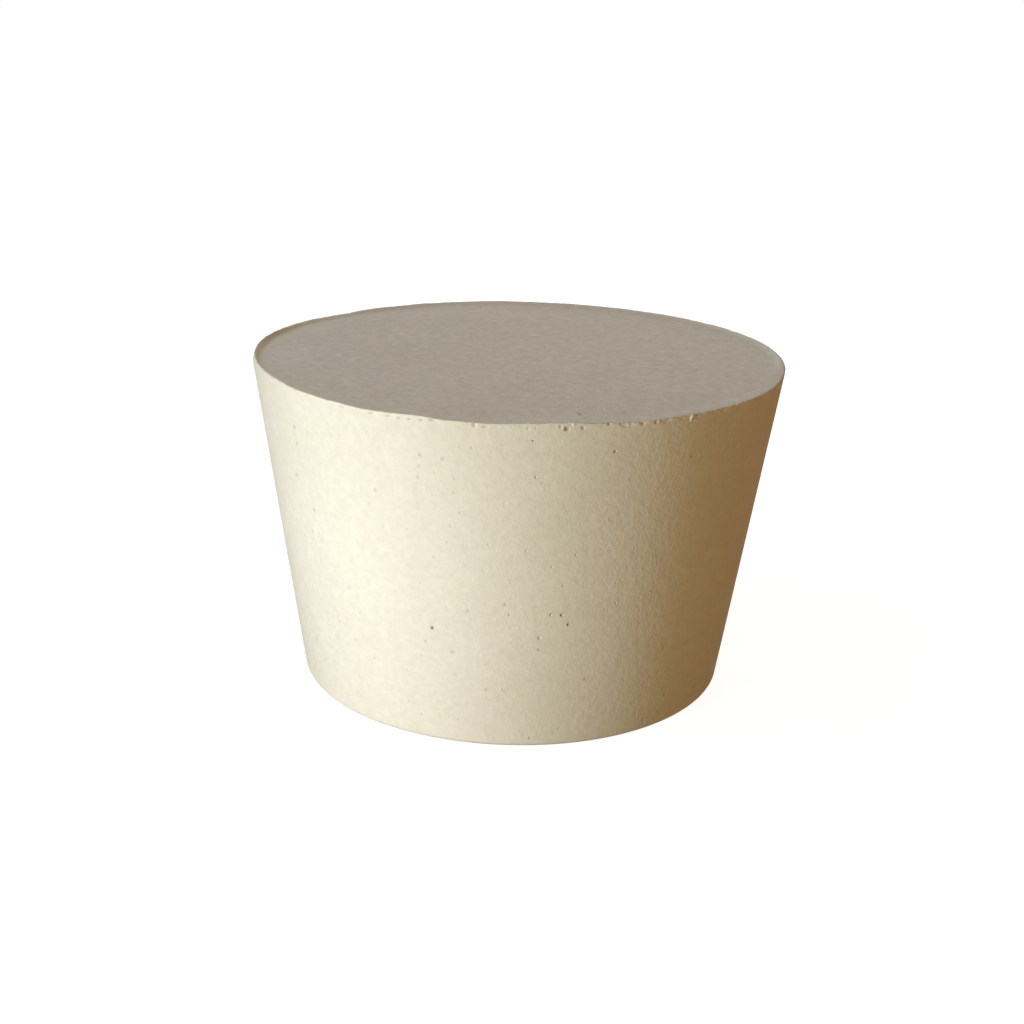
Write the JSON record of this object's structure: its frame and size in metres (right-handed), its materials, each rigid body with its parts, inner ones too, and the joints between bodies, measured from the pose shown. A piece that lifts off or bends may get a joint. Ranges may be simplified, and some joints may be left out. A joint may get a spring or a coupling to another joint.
{
  "type": "tapered rubber stopper",
  "caption": "Solid tapered rubber stopper with a low rounded rim round its large end, pressed into the neck of a flask or bottle to close it.",
  "frame": {"origin": "centre of the small end's flat face, on which the stopper stands", "axes": "+Z along the axis, from the small end up to the large end; the stopper is the same all the way round"},
  "size_m": [0.0408, 0.0408, 0.0254],
  "materials": {
    "cream_rubber": "matte"
  },
  "bodies": {
    "root": {"stopper": "cream_rubber"}
  },
  "joints": []
}
